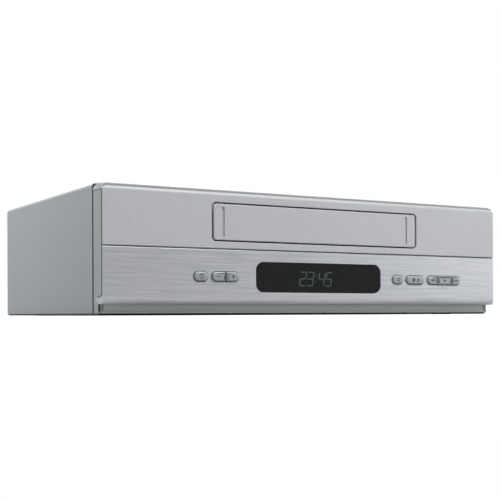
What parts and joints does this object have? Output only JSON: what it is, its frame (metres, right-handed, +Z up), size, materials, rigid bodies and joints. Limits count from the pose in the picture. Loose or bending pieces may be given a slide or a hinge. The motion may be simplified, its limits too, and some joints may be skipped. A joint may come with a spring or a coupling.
{
  "type": "video cassette recorder",
  "caption": "Silver video cassette recorder with a cassette flap, dark clock window, pill-shaped keys, grey steel cover, rear sockets, and a tape deck with tilted drum and sliding holder.",
  "frame": {"origin": "middle of the overall footprint, at the level that the feet stand on", "axes": "+X to the right seen from the front, +Y to the rear, +Z up"},
  "size_m": [0.38, 0.25, 0.098],
  "materials": {
    "silver_paint": "metallic silver paint on moulded plastic",
    "brushed_film": "metal film brushed lengthways on moulded plastic",
    "key_silver": "metallic silver paint",
    "frame_plastic": "fine grained silver grey plastic",
    "smoked_window": "polished dark window",
    "tube_glass": "dark display glass",
    "circuit_board": "green solder resist",
    "coated_steel": "grey coating with a fine grain",
    "zinc_plate": "zinc plated sheet steel",
    "rear_plastic": "black grained plastic",
    "pad_rubber": "matt black rubber",
    "screw_steel": "zinc plated",
    "heat_sink": "plain aluminium",
    "transformer_iron": "varnished core with a taped winding",
    "can_sleeve": "shrunk plastic sleeve",
    "socket_black": "black plastic",
    "nickel": "nickel plate",
    "deck_steel": "zinc plated pressed steel",
    "drum_aluminium": "finely turned and polished",
    "reel_plastic": "off-white plastic",
    "tyre_rubber": "ground black rubber",
    "bearing_brass": "plain brass",
    "polished_steel": "polished steel",
    "head_metal": "lapped metal face",
    "gear_plastic": "natural plastic",
    "motor_can": "plated motor can"
  },
  "bodies": {
    "machine": {"upper_fascia": "silver_paint", "lower_fascia": "brushed_film", "front_frame": "frame_plastic", "display_window": "smoked_window", "display_tube": "tube_glass", "front_board": "circuit_board", "chassis_tray": "zinc_plate", "top_cover": "coated_steel", "rear_panel": "rear_plastic", "foot_front_left": "pad_rubber", "foot_front_right": "pad_rubber", "foot_rear_left": "pad_rubber", "foot_rear_right": "pad_rubber", "cover_screw_left": "screw_steel", "cover_screw_middle": "screw_steel", "cover_screw_right": "screw_steel", "main_board": "circuit_board", "heat_sink": "heat_sink", "mains_transformer": "transformer_iron", "smoothing_capacitor": "can_sleeve", "mains_inlet": "socket_black", "scart_socket_1": "socket_black", "scart_socket_2": "socket_black", "phono_sockets": "nickel", "tuner_module": "nickel", "deck_plate": "deck_steel", "holder_bracket_left": "deck_steel", "holder_bracket_right": "deck_steel", "drum_base": "drum_aluminium", "drive_belt": "tyre_rubber", "capstan_bearing": "bearing_brass", "erase_head": "head_metal", "control_head": "head_metal", "loading_motor": "motor_can"},
    "flap": {"cassette_flap": "silver_paint", "flap_spring": "polished_steel"},
    "standby_key": {"standby_button": "key_silver"},
    "programme_down_key": {"programme_down_button": "key_silver"},
    "programme_up_key": {"programme_up_button": "key_silver"},
    "record_key": {"record_button": "key_silver"},
    "stop_eject_key": {"stop_eject_button": "key_silver"},
    "rewind_key": {"rewind_button": "key_silver"},
    "play_key": {"play_button": "key_silver"},
    "forward_key": {"forward_button": "key_silver"},
    "video_drum": {"drum_head": "drum_aluminium"},
    "capstan_flywheel": {"capstan": "polished_steel"},
    "reel_drive": {"belt_pulley": "reel_plastic"},
    "idler_lever": {"idler_arm": "deck_steel"},
    "idler_tyre": {"idler_wheel": "tyre_rubber"},
    "supply_table": {"supply_reel": "reel_plastic"},
    "takeup_table": {"takeup_reel": "reel_plastic"},
    "cam": {"cam_gear": "gear_plastic"},
    "pinion": {"motor_pinion": "gear_plastic"},
    "supply_post": {"supply_guide": "polished_steel"},
    "takeup_post": {"takeup_guide": "polished_steel"},
    "pinch_lever": {"pinch_arm": "deck_steel"},
    "pinch_wheel": {"pinch_roller": "tyre_rubber"},
    "cassette_basket": {"cassette_holder": "deck_steel"}
  },
  "joints": [
    {"name": "flap_hinge", "type": "hinge", "parent": "machine", "child": "flap", "pos_m": [0, -0.1182, 0.089], "axis": [1, 0, 0], "range_deg": [0, 90], "stiffness_Nm_per_rad": 0.004, "springref_deg": -34.38},
    {"name": "standby_press", "type": "slide", "parent": "machine", "child": "standby_key", "axis": [0, 1, 0], "range_m": [0, 0.0006], "stiffness_N_per_m": 150, "springref_m": -0.0004},
    {"name": "programme_down_press", "type": "slide", "parent": "machine", "child": "programme_down_key", "axis": [0, 1, 0], "range_m": [0, 0.0006], "stiffness_N_per_m": 150, "springref_m": -0.0004},
    {"name": "programme_up_press", "type": "slide", "parent": "machine", "child": "programme_up_key", "axis": [0, 1, 0], "range_m": [0, 0.0006], "stiffness_N_per_m": 150, "springref_m": -0.0004},
    {"name": "record_press", "type": "slide", "parent": "machine", "child": "record_key", "axis": [0, 1, 0], "range_m": [0, 0.0006], "stiffness_N_per_m": 150, "springref_m": -0.0004},
    {"name": "stop_eject_press", "type": "slide", "parent": "machine", "child": "stop_eject_key", "axis": [0, 1, 0], "range_m": [0, 0.0006], "stiffness_N_per_m": 150, "springref_m": -0.0004},
    {"name": "rewind_press", "type": "slide", "parent": "machine", "child": "rewind_key", "axis": [0, 1, 0], "range_m": [0, 0.0006], "stiffness_N_per_m": 150, "springref_m": -0.0004},
    {"name": "play_press", "type": "slide", "parent": "machine", "child": "play_key", "axis": [0, 1, 0], "range_m": [0, 0.0006], "stiffness_N_per_m": 150, "springref_m": -0.0004},
    {"name": "forward_press", "type": "slide", "parent": "machine", "child": "forward_key", "axis": [0, 1, 0], "range_m": [0, 0.0006], "stiffness_N_per_m": 150, "springref_m": -0.0004},
    {"name": "drum_spin", "type": "hinge", "parent": "machine", "child": "video_drum", "pos_m": [0, 0.0478, 0.0398], "axis": [0.1038, 0, 0.9946], "continuous": true},
    {"name": "capstan_spin", "type": "hinge", "parent": "machine", "child": "capstan_flywheel", "pos_m": [0.062, 0.0118, 0], "axis": [0, 0, 1], "continuous": true},
    {"name": "reel_drive_spin", "type": "hinge", "parent": "machine", "child": "reel_drive", "pos_m": [0, -0.0322, 0], "axis": [0, 0, 1], "continuous": true},
    {"name": "idler_swing", "type": "hinge", "parent": "machine", "child": "idler_lever", "pos_m": [0, -0.0322, 0], "axis": [0, 0, 1], "range_deg": [-29, 29]},
    {"name": "idler_spin", "type": "hinge", "parent": "idler_lever", "child": "idler_tyre", "pos_m": [0, -0.0602, 0], "axis": [0, 0, 1], "continuous": true},
    {"name": "supply_spin", "type": "hinge", "parent": "machine", "child": "supply_table", "pos_m": [-0.046, -0.0522, 0], "axis": [0, 0, 1], "continuous": true},
    {"name": "takeup_spin", "type": "hinge", "parent": "machine", "child": "takeup_table", "pos_m": [0.046, -0.0522, 0], "axis": [0, 0, 1], "continuous": true},
    {"name": "cam_turn", "type": "hinge", "parent": "machine", "child": "cam", "pos_m": [-0.07, 0.0458, 0], "axis": [0, 0, 1], "range_deg": [0, 150]},
    {"name": "pinion_turn", "type": "hinge", "parent": "machine", "child": "pinion", "pos_m": [-0.07909, 0.06529, 0], "axis": [0, 0, 1], "range_deg": [-360, 0]},
    {"name": "supply_post_slide", "type": "slide", "parent": "machine", "child": "supply_post", "axis": [-0.3285, 0.9445, 0], "range_m": [0, 0.0487]},
    {"name": "takeup_post_slide", "type": "slide", "parent": "machine", "child": "takeup_post", "axis": [0.3285, 0.9445, 0], "range_m": [0, 0.0487]},
    {"name": "pinch_swing", "type": "hinge", "parent": "machine", "child": "pinch_lever", "pos_m": [0.084, -0.0062, 0], "axis": [0, 0, 1], "range_deg": [0, 25]},
    {"name": "pinch_spin", "type": "hinge", "parent": "pinch_lever", "child": "pinch_wheel", "pos_m": [0.07883, 0.01518, 0], "axis": [0, 0, 1], "continuous": true},
    {"name": "basket_slide", "type": "slide", "parent": "machine", "child": "cassette_basket", "axis": [0, 1, 0], "range_m": [0, 0.047]}
  ],
  "couplings": [
    {"joint": "reel_drive_spin", "follows": "capstan_spin", "ratio": 0.61538},
    {"joint": "idler_spin", "follows": "capstan_spin", "ratio": -0.52103},
    {"joint": "cam_turn", "follows": "supply_post_slide", "rad_per_m": 53.75},
    {"joint": "pinion_turn", "follows": "supply_post_slide", "rad_per_m": -129},
    {"joint": "takeup_post_slide", "follows": "supply_post_slide", "ratio": 1},
    {"joint": "pinch_swing", "follows": "supply_post_slide", "rad_per_m": 8.955}
  ]
}
